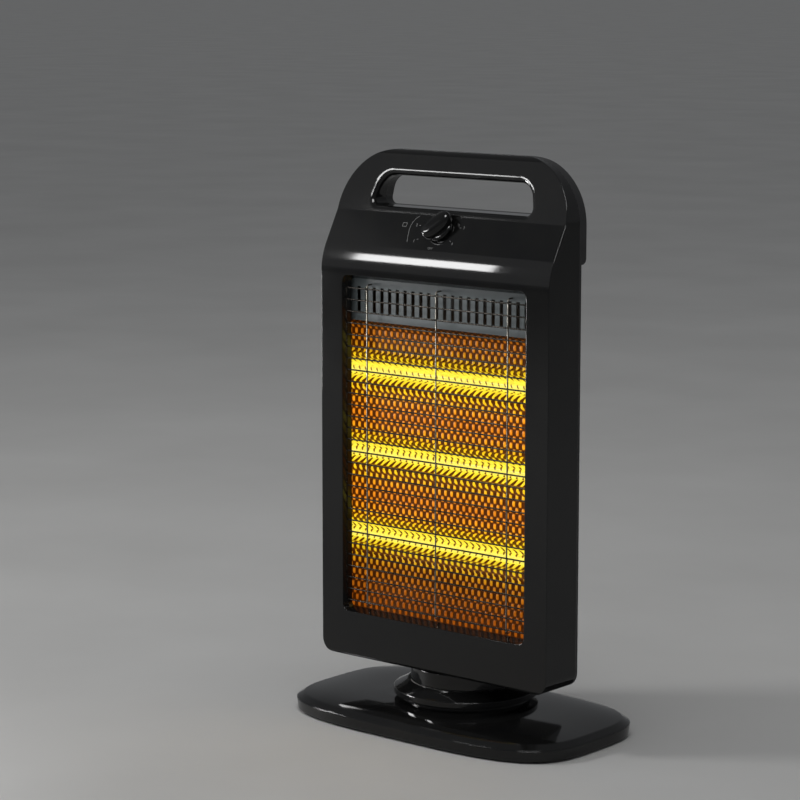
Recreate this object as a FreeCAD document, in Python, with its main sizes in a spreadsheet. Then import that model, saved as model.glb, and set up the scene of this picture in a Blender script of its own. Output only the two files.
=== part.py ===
import FreeCAD, Part
import math
import os
import re

import Sketcher
from FreeCAD import Placement, Rotation, Vector

# Free-standing infrared heater: a slim head with three lamp tubes swings on a round neck above a broad base.
# The front faces -Y, +Z is up, and the origin lies on the floor under the middle of the base.
# All sizes are millimetres.
SIZES = {
    # base
    "base_half_width": 172.0,
    "base_half_depth": 100.5,
    "base_roundness": 3.65,
    "foot_stand": 2.0,
    "foot_radius": 9.0,
    "foot_inset_x": 53.0,
    "foot_inset_y": 36.0,
    "edge_height": 10.7,
    "edge_draft": 1.0,
    "bevel_height": 5.0,
    "bevel_run": 7.0,
    "crown_height": 6.3,
    "base_wall": 3.0,
    "plate_thickness": 2.5,
    "plate_gap": 0.3,
    "pedestal_margin": 36.5,
    "pedestal_height": 5.5,
    "boss_radius": 4.5,
    "base_boss_inset_x": 35.0,
    "base_boss_inset_y": 48.0,
    # neck
    "swivel_set_back": 9.0,
    "collar_radius": 72.5,
    "collar_rim": 5.5,
    "collar_height": 12.8,
    "collar_neck_radius": 58.5,
    "collar_lip": 2.0,
    "collar_recess": 2.0,
    "washer_thickness": 1.7,
    "washer_width": 5.0,
    "drum_radius": 55.5,
    "drum_wall": 3.0,
    "neck_height": 15.2,
    "running_gap": 0.3,
    "spindle_radius": 11.0,
    "spindle_bore": 7.0,
    "spindle_flange_radius": 17.0,
    "nut_radius": 19.0,
    "nut_height": 7.0,
    # swing drive
    "crank_reach": 28.5,
    "crank_throw": 16.3,
    "crank_thickness": 4.0,
    "crank_half_width": 4.5,
    "crank_pin_radius": 2.5,
    "crank_clearance": 1.0,
    "motor_shaft_radius": 3.0,
    "motor_radius": 24.0,
    "motor_height": 18.0,
    "motor_bore": 6.0,
    "motor_ear": 7.0,
    "motor_ear_thickness": 2.0,
    "yoke_thickness": 3.0,
    "yoke_half_width": 9.0,
    "yoke_slot_half_width": 5.0,
    # tip-over switch
    "plunger_radius": 5.0,
    "plunger_head_radius": 7.5,
    "plunger_head": 2.0,
    "plunger_travel": 3.0,
    "plunger_inset": 26.0,
    "tip_switch_length": 20.0,
    "tip_switch_width": 10.0,
    "tip_switch_height": 6.0,
    "lever_thickness": 1.0,
    # head
    "front_setback": 56.0,
    "body_width": 285.0,
    "head_height": 510.5,
    "wall": 3.0,
    "housing_depth": 47.5,
    "bottom_corner": 15.0,
    "top_corner": 63.0,
    "lower_edge": 4.0,
    "bend_height": 403.5,
    "bend_radius": 60.0,
    "panel_rise": 46.0,
    "panel_run": 25.0,
    "panel_blend": 0.5,
    "handle_run": 17.0,
    "handle_round": 9.0,
    "handle_back": 10.0,
    "handle_back_round": 6.0,
    "handle_back_drop": 100.0,
    "grip_margin": 42.8,
    "grip_floor": 55.3,
    "grip_roof": 25.5,
    "grip_lean": 7.7,
    "grip_low_corner": 6.0,
    "grip_top_corner": 18.0,
    "grip_edge_round": 5.5,
    "window_margin": 27.0,
    "window_low": 46.2,
    "window_high": 387.5,
    "window_corner": 8.0,
    "bezel_depth": 10.0,
    "bezel_slope": 4.0,
    "cover_flange": 2.5,
    "cover_depth": 112.0,
    "cover_margin": 30.5,
    "cover_top": 400.0,
    "cover_side_taper": 28.0,
    "cover_top_taper": 34.0,
    "cover_corner": 20.0,
    "louvre_height": 4.0,
    "louvre_pitch": 14.0,
    "louvre_margin": 17.0,
    "louvre_rib": 10.0,
    "louvre_low": 90.0,
    "screw_radius": 1.5,
    "screw_clearance": 0.1,
    "screw_head_radius": 3.2,
    "screw_head": 1.6,
    "screw_length": 12.0,
    "housing_boss_inset": 7.0,
    "gland_radius": 6.0,
    "gland_flange_radius": 9.0,
    "gland_flange": 3.0,
    "gland_bore": 3.6,
    "gland_inset": 26.0,
    "gland_height": 42.0,
    # heating unit
    "lamp_middle": 207.0,
    "lamp_pitch": 83.5,
    "lamp_depth": 24.0,
    "lamp_radius": 5.0,
    "lamp_wall": 1.0,
    "lamp_margin": 13.0,
    "filament_radius": 1.4,
    "cap_radius": 6.8,
    "cap_length": 12.5,
    "cap_overlap": 3.0,
    "cap_gap": 0.1,
    "reflector_margin": 14.0,
    "reflector_sheet": 1.0,
    "reflector_flat": 18.0,
    "trough_depth": 13.5,
    "trough_half_width": 20.0,
    "trough_floor_half": 5.0,
    "apron_front": 11.0,
    "apron_drop": 38.0,
    "end_plate_sheet": 1.2,
    "end_plate_margin": 0.5,
    "shield_front": 44.5,
    "shield_sheet": 0.8,
    "strip_front": 14.0,
    "strip_sheet": 1.0,
    "strip_low": 341.0,
    "strip_height": 43.0,
    "strip_slot_width": 4.4,
    "strip_slot_height": 25.0,
    "strip_end": 23.5,
    "cutout_radius": 8.0,
    "cutout_height": 7.0,
    "cutout_place_x": 40.0,
    "wire_radius": 0.8,
    "guard_depth": 5.5,
    "guard_low": 57.0,
    "guard_pitch": 11.74,
    "guard_margin": 29.6,
    "upright_inset": 24.4,
    "upright_bend": 3.0,
    "upright_overhang": 1.0,
    # controls
    "knob_height_on_panel": 40.0,
    "knob_radius": 14.0,
    "knob_skirt": 6.0,
    "knob_top_radius": 12.5,
    "grip_bar_half_width": 7.0,
    "grip_bar_height": 13.0,
    "grip_bar_overhang": 3.0,
    "knob_gap": 0.8,
    "knob_off_middle": 4.0,
    "shaft_radius": 3.0,
    "shaft_depth": 12.0,
    "switch_width": 30.0,
    "switch_height": 26.0,
    "switch_depth": 18.0,
    "terminal_length": 34.0,
    "terminal_width": 14.0,
    "terminal_height": 12.0,
    "terminal_place_x": 50.0,
    "terminal_place_y": 22.0,
    # shared
    "overrun": 2.0,
}

# Counts and angles of what repeats.
LAMPS = 3
CROSS_WIRES = 28
UPRIGHTS = 3
STRIP_SLOTS = 22
LOUVRE_ROWS = 20
OUTLINE_POINTS = 64
KNOB_POINTER_DEG = 45.0
GRIP_CORNER_SHARE = 0.6
# Where the crown's rings lie, as shares of the base's half sizes and of the crown's height.
CROWN_RING_SHARES = ((0.80, 0.55), (0.62, 0.85), (0.45, 1.0))
# Heights of the housing's screw bosses as shares of the head's height.
HOUSING_BOSS_SHARES = (0.06, 0.485, 0.77)
HANDLE_BOSS_SHARE = 0.905
# Bearings of the screws round the neck, in degrees.
DRUM_SCREW_DEG = (90.0, 210.0, 330.0)
DRUM_SCREW_SHARE = 0.72
COLLAR_SCREW_DEG = (30.0, 150.0, 270.0)
COLLAR_SCREW_SHARE = 0.62

doc = FreeCAD.newDocument("infrared_heater")
sheet = doc.addObject("Spreadsheet::Sheet", "Sizes")
for row, (name, value) in enumerate(SIZES.items(), start=1):
    sheet.set(f"A{row}", name)
    sheet.set(f"B{row}", str(value))
    sheet.setAlias(f"B{row}", name)
doc.recompute()

UP = Vector(0, 0, 1)
RIGHT = Vector(1, 0, 0)
BACK = Vector(0, 1, 0)
sub_parts = []


def size(name):
    return float(sheet.get(name))


def bind(obj, prop, words):
    """Binds a property to an expression written in the sheet's own names."""
    named = re.sub(
        r"[a-z_]{3,}",
        lambda word: "Sizes." + word.group(0) if word.group(0) in SIZES else word.group(0),
        words,
    )
    obj.setExpression(prop, named)


def keep(obj, label):
    """Registers a finished sub-part under the name of its file."""
    obj.Label = label
    sub_parts.append(obj)
    return obj


def feature(label, shape):
    obj = doc.addObject("Part::Feature", label)
    obj.Shape = shape
    obj.Placement = shape.Placement
    return keep(obj, label)


def place(obj, x="0", y="0", z="0"):
    bind(obj, "Placement.Base.x", x)
    bind(obj, "Placement.Base.y", y)
    bind(obj, "Placement.Base.z", z)
    return obj


def rod(name, radius, length, x="0", y="0", z="0", axis=UP):
    """A cylinder bound to the sheet, starting at x, y, z and running along axis."""
    obj = doc.addObject("Part::Cylinder", name)
    obj.Placement = Placement(Vector(), Rotation(UP, axis))
    bind(obj, "Radius", radius)
    bind(obj, "Height", length)
    return place(obj, x, y, z)


def block(name, length, width, height, x="0", y="0", z="0"):
    """A box bound to the sheet, with its lowest corner at x, y, z."""
    obj = doc.addObject("Part::Box", name)
    bind(obj, "Length", length)
    bind(obj, "Width", width)
    bind(obj, "Height", height)
    return place(obj, x, y, z)


def cut(name, base, tool):
    obj = doc.addObject("Part::Cut", name)
    obj.Base = base
    obj.Tool = tool
    return obj


def fuse(name, pieces):
    obj = doc.addObject("Part::MultiFuse", name)
    obj.Shapes = pieces
    return obj


def group(name, pieces):
    obj = doc.addObject("Part::Compound", name)
    obj.Links = pieces
    return obj


def rounded_wire(corners, to_space):
    """A closed outline of straight runs whose corners (u, v, radius) are rounded by arcs."""
    edges = []
    runs = []
    count = len(corners)
    for i, (u, v, radius) in enumerate(corners):
        here = Vector(u, v, 0)
        before = Vector(*corners[i - 1][:2], 0)
        after = Vector(*corners[(i + 1) % count][:2], 0)
        to_before = (before - here).normalize()
        to_after = (after - here).normalize()
        half = to_before.getAngle(to_after) / 2
        reach = radius / math.tan(half) if radius else 0
        start = here + to_before * reach
        end = here + to_after * reach
        middle = here
        if radius:
            bisector = (to_before + to_after).normalize()
            middle = here + bisector * (radius / math.sin(half) - radius)
        runs.append((start, middle, end, radius))
    for i, (start, middle, end, radius) in enumerate(runs):
        if radius:
            edges.append(Part.Arc(to_space(start), to_space(middle), to_space(end)).toShape())
        following = runs[(i + 1) % count][0]
        if (following - end).Length > 1e-6:
            edges.append(Part.LineSegment(to_space(end), to_space(following)).toShape())
    return Part.Wire(Part.__sortEdges__(edges))


def face_on(axis, offset):
    """Maps outline points to the plane across an axis: u runs along X (or Y), v along Z (or Y)."""
    if axis == "Y":
        return lambda p: Vector(p.x, offset, p.y)
    if axis == "X":
        return lambda p: Vector(offset, p.x, p.y)
    return lambda p: Vector(p.x, p.y, offset)


def slab(corners, axis, start, end):
    """A plate with a rounded outline, from start to end along an axis."""
    run = {"X": RIGHT, "Y": BACK, "Z": UP}[axis] * (end - start)
    return Part.Face(rounded_wire(corners, face_on(axis, start))).extrude(run)


def upright_rectangle(half_width, low, high, low_radius, high_radius):
    return [
        (-half_width, low, low_radius),
        (half_width, low, low_radius),
        (half_width, high, high_radius),
        (-half_width, high, high_radius),
    ]


def turned(profile, x, y):
    """A ring or disc turned about the upright line at x, y from (radius, height) points."""
    points = [Vector(x + radius, y, height) for radius, height in profile]
    face = Part.Face(Part.makePolygon(points + points[:1]))
    return face.revolve(Vector(x, y, 0), UP, 360)


def bar(radius, start, direction, length):
    return Part.makeCylinder(radius, length, start, direction)


def one_solid(shape):
    """The single solid of a boolean result, cleaned of split faces."""
    clean = shape.removeSplitter()
    return clean.Solids[0] if len(clean.Solids) == 1 else clean


# Levels and places that several pieces share, as numbers and as the words that the sheet binds.
overrun = size("overrun")
wall = size("wall")
swivel_y = size("swivel_set_back")
front_y = swivel_y - size("front_setback")
base_low = size("foot_stand")
edge_top = base_low + size("edge_height")
bevel_top = edge_top + size("bevel_height")
crown_top = bevel_top + size("crown_height")
base_top = crown_top + size("pedestal_height")
collar_top = base_top + size("collar_height")
collar_floor = collar_top - size("collar_recess")
drum_low = collar_floor + size("washer_thickness") + size("running_gap")
head_low = collar_top + size("neck_height")
head_high = head_low + size("head_height")
parting_y = front_y + size("housing_depth")
half_body = size("body_width") / 2
window_half = half_body - size("window_margin")
grip_half = half_body - size("grip_margin")
cover_half = half_body - size("cover_margin")
lamp_half = half_body - size("lamp_margin")
reflector_half = half_body - size("reflector_margin")
pedestal_radius = size("base_half_depth") - size("pedestal_margin")
plunger_y = size("base_half_depth") - size("plunger_inset")
drum_ceiling = head_low - size("drum_wall")
crank_low = collar_floor + size("yoke_thickness") + size("crank_clearance")
crank_high = crank_low + size("crank_thickness")
screw_hole = size("screw_radius") + size("screw_clearance")

SWIVEL_Y = "swivel_set_back"
FRONT_Y = "(swivel_set_back - front_setback)"
PLATE_TOP = "(foot_stand + plate_thickness)"
BASE_TOP = "(foot_stand + edge_height + bevel_height + crown_height + pedestal_height)"
COLLAR_FLOOR = f"({BASE_TOP} + collar_height - collar_recess)"
HEAD_LOW = f"({BASE_TOP} + collar_height + neck_height)"
FLOOR_TOP = f"({HEAD_LOW} + wall)"
PLUNGER_Y = "(base_half_depth - plunger_inset)"
LAMP_HALF = "(body_width / 2 - lamp_margin)"
REFLECTOR_HALF = "(body_width / 2 - reflector_margin)"
GUARD_HALF = "(body_width / 2 - guard_margin)"


def base_outline(half_x, half_y, z):
    """The base's plan: a rounded oblong whose four sides bulge, as one closed smooth curve."""
    power = size("base_roundness")
    points = []
    for i in range(OUTLINE_POINTS):
        turn = 2 * math.pi * i / OUTLINE_POINTS
        along = abs(math.cos(turn) / half_x) ** power
        across = abs(math.sin(turn) / half_y) ** power
        reach = (along + across) ** (-1 / power)
        points.append(Vector(reach * math.cos(turn), reach * math.sin(turn), z))
    curve = Part.BSplineCurve()
    curve.interpolate(points, PeriodicFlag=True)
    return Part.Wire(curve.toShape())


def base_form(inset, low):
    """The base's solid form, drawn in by inset on every side but the floor side, which is at low."""
    half_x = size("base_half_width") - inset
    half_y = size("base_half_depth") - inset
    draft = size("edge_draft")
    bevel = size("bevel_run")
    skirt = Part.makeLoft(
        [
            base_outline(half_x - draft, half_y - draft, low),
            base_outline(half_x, half_y, edge_top - inset),
            base_outline(half_x - bevel, half_y - bevel, bevel_top - inset),
        ],
        True,
        True,
    )
    rings = [base_outline(half_x - bevel, half_y - bevel, bevel_top - inset)]
    for reach_share, rise_share in CROWN_RING_SHARES:
        level = bevel_top - inset + size("crown_height") * rise_share
        rings.append(base_outline(half_x * reach_share, half_y * reach_share, level))
    crown = Part.makeLoft(rings, True, False)
    return skirt.fuse(crown)


def base_boss_places():
    x = size("base_half_width") - size("base_boss_inset_x")
    y = size("base_half_depth") - size("base_boss_inset_y")
    return [(sx * x, sy * y) for sx in (-1, 1) for sy in (-1, 1)]


def collar_screw_places():
    reach = pedestal_radius * COLLAR_SCREW_SHARE
    return around_swivel(reach, COLLAR_SCREW_DEG)


def drum_screw_places():
    return around_swivel(size("drum_radius") * DRUM_SCREW_SHARE, DRUM_SCREW_DEG)


def around_swivel(reach, bearings):
    turns = [math.radians(bearing) for bearing in bearings]
    return [(reach * math.cos(t), swivel_y + reach * math.sin(t)) for t in turns]


# Base cover: moulded shell with a bevelled edge, a crowned top and a round pedestal under the neck.
def base_cover():
    base_wall = size("base_wall")
    pedestal = bar(pedestal_radius, Vector(0, swivel_y, edge_top), UP, base_top - edge_top)
    hollow = base_form(base_wall, base_low - overrun)
    inner = pedestal_radius - base_wall
    chamber = bar(inner, Vector(0, swivel_y, base_low), UP, base_top - base_wall - base_low)
    shell = base_form(0, base_low).fuse(pedestal).cut(hollow.fuse(chamber))
    boss_top = bevel_top + size("crown_height") * CROWN_RING_SHARES[0][1] - base_wall / 2
    plate_top = base_low + size("plate_thickness")
    for x, y in base_boss_places():
        shell = shell.fuse(bar(size("boss_radius"), Vector(x, y, plate_top), UP, boss_top - plate_top))
    for x, y in base_boss_places():
        pilot = bar(screw_hole, Vector(x, y, base_low), UP, size("screw_length"))
        shell = shell.cut(pilot)
    spindle = size("spindle_radius") + size("running_gap")
    shell = shell.cut(bar(spindle, Vector(0, swivel_y, 0), UP, base_top + overrun))
    for x, y in collar_screw_places():
        shell = shell.cut(bar(screw_hole, Vector(x, y, edge_top), UP, base_top + overrun - edge_top))
    feature("base_cover", one_solid(shell))


# Base plate: flat steel ballast plate that closes the base from below.
def base_plate():
    inset = size("base_wall") + size("edge_draft") + size("plate_gap")
    outline = base_outline(size("base_half_width") - inset, size("base_half_depth") - inset, base_low)
    plate = Part.Face(outline).extrude(UP * size("plate_thickness"))
    for x, y in base_boss_places():
        plate = plate.cut(bar(screw_hole, Vector(x, y, 0), UP, edge_top))
    plunger = size("plunger_radius") + size("running_gap")
    plate = plate.cut(bar(plunger, Vector(0, plunger_y, 0), UP, edge_top))
    feature("base_plate", one_solid(plate))


# Feet: four rubber pads stuck under the base plate.
def rubber_feet():
    pads = []
    for i, (sx, sy) in enumerate([(-1, -1), (1, -1), (1, 1), (-1, 1)]):
        x = f"{sx} * (base_half_width - foot_inset_x)"
        y = f"{sy} * (base_half_depth - foot_inset_y)"
        pads.append(rod(f"foot_{i}", "foot_radius", "foot_stand", x, y))
    keep(group("rubber_feet_group", pads), "rubber_feet")


def screw(head_at, direction, length):
    """A pan-head screw whose head rests at a point and whose shank runs along direction."""
    shank = bar(size("screw_radius"), head_at, direction, length)
    head = bar(size("screw_head_radius"), head_at, direction * -1, size("screw_head"))
    return one_solid(shank.fuse(head))


# Screws that hold the base plate to the base cover's bosses.
def base_screws():
    places = [Vector(x, y, base_low) for x, y in base_boss_places()]
    screws = [screw(p, UP, size("screw_length") - size("plate_gap")) for p in places]
    feature("base_screws", Part.makeCompound(screws))


# Collar: flared ring on the pedestal, with a recess on top that the neck drum turns in.
def collar_ring():
    rim = size("collar_radius")
    neck = size("collar_neck_radius")
    bore = size("spindle_radius") + size("running_gap")
    recess = neck - size("collar_lip")
    profile = [
        (bore, base_top),
        (rim, base_top),
        (rim, base_top + size("collar_rim")),
        (neck, collar_top),
        (recess, collar_top),
        (recess, collar_floor),
        (bore, collar_floor),
    ]
    ring = turned(profile, 0, swivel_y)
    for x, y in collar_screw_places():
        ring = ring.cut(bar(screw_hole, Vector(x, y, 0), UP, collar_floor - size("washer_thickness")))
    feature("collar_ring", one_solid(ring))


# Screws that hold the collar to the pedestal from below.
def collar_screws():
    under = base_top - size("base_wall")
    length = size("base_wall") + size("collar_height") / 2
    screws = [screw(Vector(x, y, under), UP, length) for x, y in collar_screw_places()]
    feature("collar_screws", Part.makeCompound(screws))


# Swivel washer: slippery ring in the collar's recess that carries the neck drum.
def swivel_washer():
    outer = rod("washer_outer", "drum_radius", "washer_thickness", "0", SWIVEL_Y, COLLAR_FLOOR)
    inner = rod("washer_inner", "drum_radius - washer_width", "washer_thickness", "0", SWIVEL_Y, COLLAR_FLOOR)
    keep(cut("washer_cut", outer, inner), "swivel_washer")


# Neck drum: open cup under the head that hides the swing drive.
def neck_drum():
    outer = size("drum_radius")
    bore = size("spindle_bore")
    profile = [
        (outer, drum_low),
        (outer, head_low),
        (bore, head_low),
        (bore, drum_ceiling),
        (outer - size("drum_wall"), drum_ceiling),
        (outer - size("drum_wall"), drum_low),
    ]
    drum = turned(profile, 0, swivel_y)
    for x, y in drum_screw_places():
        drum = drum.cut(bar(screw_hole, Vector(x, y, drum_low), UP, head_low + overrun - drum_low))
    shaft = size("motor_shaft_radius") + size("running_gap")
    drum = drum.cut(bar(shaft, Vector(size("crank_reach"), swivel_y, drum_low), UP, head_low))
    feature("neck_drum", one_solid(drum))


# Screws that hold the drum to the floor of the head.
def drum_screws():
    length = size("drum_wall") + wall
    screws = [screw(Vector(x, y, drum_ceiling), UP, length) for x, y in drum_screw_places()]
    feature("drum_screws", Part.makeCompound(screws))


# Swivel spindle: hollow axle flanged under the drum's ceiling, through which the leads run down.
def swivel_spindle():
    low = base_top - size("base_wall") - size("running_gap") - size("nut_height")
    flange = drum_ceiling - size("drum_wall")
    profile = [
        (size("spindle_bore"), low),
        (size("spindle_radius"), low),
        (size("spindle_radius"), flange),
        (size("spindle_flange_radius"), flange),
        (size("spindle_flange_radius"), drum_ceiling),
        (size("spindle_bore"), drum_ceiling),
    ]
    feature("swivel_spindle", turned(profile, 0, swivel_y))


# Retaining nut: holds the spindle up under the pedestal.
def retaining_nut():
    low = f"({BASE_TOP} - base_wall - running_gap - nut_height)"
    outer = rod("nut_outer", "nut_radius", "nut_height", "0", SWIVEL_Y, low)
    inner = rod("nut_inner", "spindle_radius", "nut_height", "0", SWIVEL_Y, low)
    keep(cut("nut_cut", outer, inner), "retaining_nut")


# Swing yoke: slotted arm fixed in the collar, which the crank pin pushes against.
def swing_yoke():
    start = size("spindle_radius") + size("crank_clearance")
    reach = size("drum_radius") - size("washer_width") - size("running_gap")
    half = size("yoke_half_width")
    tip = math.sqrt(reach ** 2 - half ** 2)
    slot = size("yoke_slot_half_width")
    near = size("crank_reach") - 2 * size("crank_pin_radius")
    thickness = size("yoke_thickness")
    arm = Part.makeBox(tip - start, 2 * half, thickness, Vector(start, swivel_y - half, collar_floor))
    fork = Part.makeBox(tip - near, 2 * slot, thickness, Vector(near, swivel_y - slot, collar_floor))
    feature("swing_yoke", one_solid(arm.cut(fork)))


# Swing crank: arm and pin on the motor's shaft, under the drum's ceiling.
def swing_crank():
    axis = Vector(size("crank_reach"), swivel_y, 0)
    half = size("crank_half_width")
    throw = size("crank_throw")
    hub = bar(half, axis + UP * crank_low, UP, size("crank_thickness"))
    tip = bar(half, axis + RIGHT * throw + UP * crank_low, UP, size("crank_thickness"))
    arm = Part.makeBox(
        throw, 2 * half, size("crank_thickness"), axis + Vector(0, -half, crank_low)
    )
    shaft_top = head_low + wall + size("motor_bore")
    shaft = bar(size("motor_shaft_radius"), axis + UP * crank_low, UP, shaft_top - crank_low)
    pin_low = collar_floor + size("running_gap")
    pin = bar(size("crank_pin_radius"), axis + RIGHT * throw + UP * pin_low, UP, crank_high - pin_low)
    feature("swing_crank", one_solid(hub.multiFuse([tip, arm, shaft, pin])))


# Swing motor: flat geared motor standing on the floor of the head, with two screwed ears.
def swing_motor():
    can = rod("motor_can", "motor_radius", "motor_height", "crank_reach", SWIVEL_Y, FLOOR_TOP)
    ears = block(
        "motor_ears",
        "2 * motor_ear",
        "2 * motor_radius + 4 * motor_ear",
        "motor_ear_thickness",
        "crank_reach - motor_ear",
        f"{SWIVEL_Y} - motor_radius - 2 * motor_ear",
        FLOOR_TOP,
    )
    body = fuse("motor_body", [can, ears])
    bore = rod(
        "motor_bore_tool",
        "motor_shaft_radius + running_gap",
        "motor_bore + running_gap",
        "crank_reach",
        SWIVEL_Y,
        FLOOR_TOP,
    )
    tools = [bore]
    for side in (-1, 1):
        y = f"{SWIVEL_Y} + {side} * (motor_radius + motor_ear)"
        wide = "screw_radius + screw_clearance"
        tools.append(rod(f"motor_hole_{side + 1}", wide, "motor_ear", "crank_reach", y, FLOOR_TOP))
    keep(cut("motor_cut", body, fuse("motor_tools", tools)), "swing_motor")


def motor_screw_places():
    reach = size("motor_radius") + size("motor_ear")
    return [(size("crank_reach"), swivel_y + side * reach) for side in (-1, 1)]


# Screws that hold the motor's ears to the floor of the head.
def motor_screws():
    top = head_low + wall + size("motor_ear_thickness")
    length = size("motor_ear_thickness") + wall
    screws = [screw(Vector(x, y, top), UP * -1, length) for x, y in motor_screw_places()]
    feature("motor_screws", Part.makeCompound(screws))


# Tip-over plunger: stem that the floor holds up; it drops when the heater is lifted or knocked over.
def tip_plunger():
    length = f"{PLATE_TOP} + plunger_travel"
    disc_low = f"{length} + running_gap"
    stem = rod("plunger_stem", "plunger_radius", length, "0", PLUNGER_Y, "running_gap")
    head = rod("plunger_disc", "plunger_head_radius", "plunger_head", "0", PLUNGER_Y, disc_low)
    keep(fuse("plunger_fuse", [stem, head]), "tip_plunger")


# Tip-over switch: sealed snap switch beside the plunger, on the base plate, with a lever over its head.
def tip_switch():
    case = block(
        "switch_case",
        "tip_switch_length",
        "tip_switch_width",
        "plunger_travel + plunger_head + tip_switch_height",
        "plunger_head_radius + running_gap",
        f"{PLUNGER_Y} - tip_switch_width / 2",
        PLATE_TOP,
    )
    lever = block(
        "switch_lever",
        "2 * plunger_head_radius",
        "tip_switch_width",
        "lever_thickness",
        "0 - plunger_head_radius + 2 * running_gap",
        f"{PLUNGER_Y} - tip_switch_width / 2",
        f"{PLATE_TOP} + plunger_travel + plunger_head + 2 * running_gap",
    )
    keep(fuse("tip_switch_fuse", [case, lever]), "tip_switch")


def side_profile(inset):
    """The head's front line seen from the side, from the floor of the head to its top, drawn in by inset."""
    bend = head_low + size("bend_height")
    rise = size("panel_rise")
    run = size("panel_run")
    lean = math.atan2(run, rise)
    top_lean = math.atan2(size("handle_run"), head_high - bend - rise)
    first = inset * math.tan(lean / 2)
    second = inset * math.tan((lean - top_lean) / 2)
    drop = inset * math.tan(math.pi / 4 - top_lean / 2)
    bend_y = front_y + inset
    blend_y = front_y + run + inset * math.cos(lean) + second * math.sin(lean)
    blend_z = bend + rise - inset * math.sin(lean) + second * math.cos(lean)
    top_y = front_y + run + size("handle_run") + inset * math.cos(top_lean) - drop * math.sin(top_lean)
    back = parting_y + (overrun if inset else 0)
    return [
        (bend_y, head_low + inset, max(size("lower_edge") - inset, 0)),
        (bend_y, bend - first, size("bend_radius") - inset),
        (blend_y, blend_z, size("panel_blend") + inset),
        (top_y, head_high - inset, size("handle_round") - inset),
        (back, head_high - inset, 0),
        (back, head_low + inset, 0),
    ]


def front_outline(inset):
    """The head's outline seen from the front, drawn in by inset."""
    return upright_rectangle(
        half_body - inset,
        head_low + inset,
        head_high - inset,
        size("bottom_corner") - inset,
        size("top_corner") - inset,
    )


def grip_outline(margin):
    """The hand hole's outline, let out by margin."""
    floor = head_high - size("grip_floor") - margin
    roof = head_high - size("grip_roof") + margin
    low_corner = size("grip_low_corner") + margin
    top_corner = size("grip_top_corner") + margin
    low_half = grip_half + margin
    top_half = low_half - size("grip_lean")
    return [
        (-low_half, floor, low_corner),
        (low_half, floor, low_corner),
        (top_half, roof, top_corner),
        (-top_half, roof, top_corner),
    ]


def grip_front_edges(shell):
    """The edges where the hand hole meets the front of the panel and the handle."""
    floor = head_high - size("grip_floor")
    roof = head_high - size("grip_roof")
    slack = overrun / 2
    edges = []
    for edge in shell.Edges:
        box = edge.BoundBox
        in_height = box.ZMin > floor - slack and box.ZMax < roof + slack
        in_width = box.XMax < grip_half + slack and box.XMin > -grip_half - slack
        at_front = box.YMax < parting_y - slack
        across = box.YLength < box.DiagonalLength / 2
        if in_height and in_width and at_front and across:
            edges.append(edge)
    return edges


def housing_boss_places():
    x = half_body - size("housing_boss_inset")
    leg = (half_body + grip_half) / 2
    places = [(x, head_low + size("head_height") * share) for share in HOUSING_BOSS_SHARES]
    places.append((leg, head_low + size("head_height") * HANDLE_BOSS_SHARE))
    return [(side * px, z) for side in (-1, 1) for px, z in places]


def window_cutter():
    """The window's opening with its sloped bezel, widest at the front."""
    depth = size("bezel_depth")
    slope = size("bezel_slope") / depth
    ends = []
    for y in (-overrun, depth + overrun):
        grow = -slope * y
        outline = upright_rectangle(
            window_half + grow,
            head_low + size("window_low") - grow,
            head_low + size("window_high") + grow,
            size("window_corner") + grow,
            size("window_corner") + grow,
        )
        ends.append(rounded_wire(outline, face_on("Y", front_y + y)))
    return Part.makeLoft(ends, True, True)


def head_form(inset):
    """The head's front half as a full solid, drawn in by inset and open to the back where inset."""
    back = parting_y + (overrun if inset else 0)
    across = half_body - inset
    sides = slab(side_profile(inset), "X", -across, across)
    return sides.common(slab(front_outline(inset), "Y", front_y, back))


# Front housing: moulded shell with the window's bezel, the sloped control panel and half of the handle.
def front_housing():
    hollow = head_form(wall).cut(slab(grip_outline(wall), "Y", front_y, parting_y + 2 * overrun))
    shell = head_form(0).cut(hollow)
    rim = upright_rectangle(
        window_half + wall,
        head_low + size("window_low") - wall,
        head_low + size("window_high") + wall,
        size("window_corner"),
        size("window_corner"),
    )
    shell = shell.fuse(slab(rim, "Y", front_y + wall / 2, front_y + size("bezel_depth")))
    form = head_form(0)
    bosses = [
        bar(size("boss_radius"), Vector(x, front_y, z), BACK, size("housing_depth")).common(form)
        for x, z in housing_boss_places()
    ]
    shell = shell.multiFuse(bosses)
    shell = shell.cut(window_cutter())
    shell = shell.cut(slab(grip_outline(0), "Y", front_y - overrun, parting_y + overrun))
    shell = one_solid(shell)
    shell = shell.makeFillet(size("grip_edge_round"), grip_front_edges(shell))
    for x, z in housing_boss_places():
        start = Vector(x, parting_y - size("screw_length"), z)
        shell = shell.cut(bar(screw_hole, start, BACK, size("screw_length") + overrun))
    for x, y in drum_screw_places() + motor_screw_places():
        shell = shell.cut(bar(screw_hole, Vector(x, y, head_low - overrun), UP, wall + 2 * overrun))
    shaft = size("shaft_radius") + size("running_gap")
    shell = shell.cut(bar(shaft, panel_point(-size("shaft_depth")), panel_normal(), 2 * size("shaft_depth")))
    feature("front_housing", one_solid(shell))


def panel_lean():
    return math.atan2(size("panel_run"), size("panel_rise"))


def panel_normal():
    return Vector(0, -math.cos(panel_lean()), math.sin(panel_lean()))


def panel_point(out):
    """The knob's centre on the sloped panel, moved out of the panel along its normal."""
    along = size("knob_height_on_panel")
    up_panel = Vector(0, math.sin(panel_lean()), math.cos(panel_lean()))
    bend = Vector(-size("knob_off_middle"), front_y, head_low + size("bend_height"))
    return bend + up_panel * along + panel_normal() * out


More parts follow.
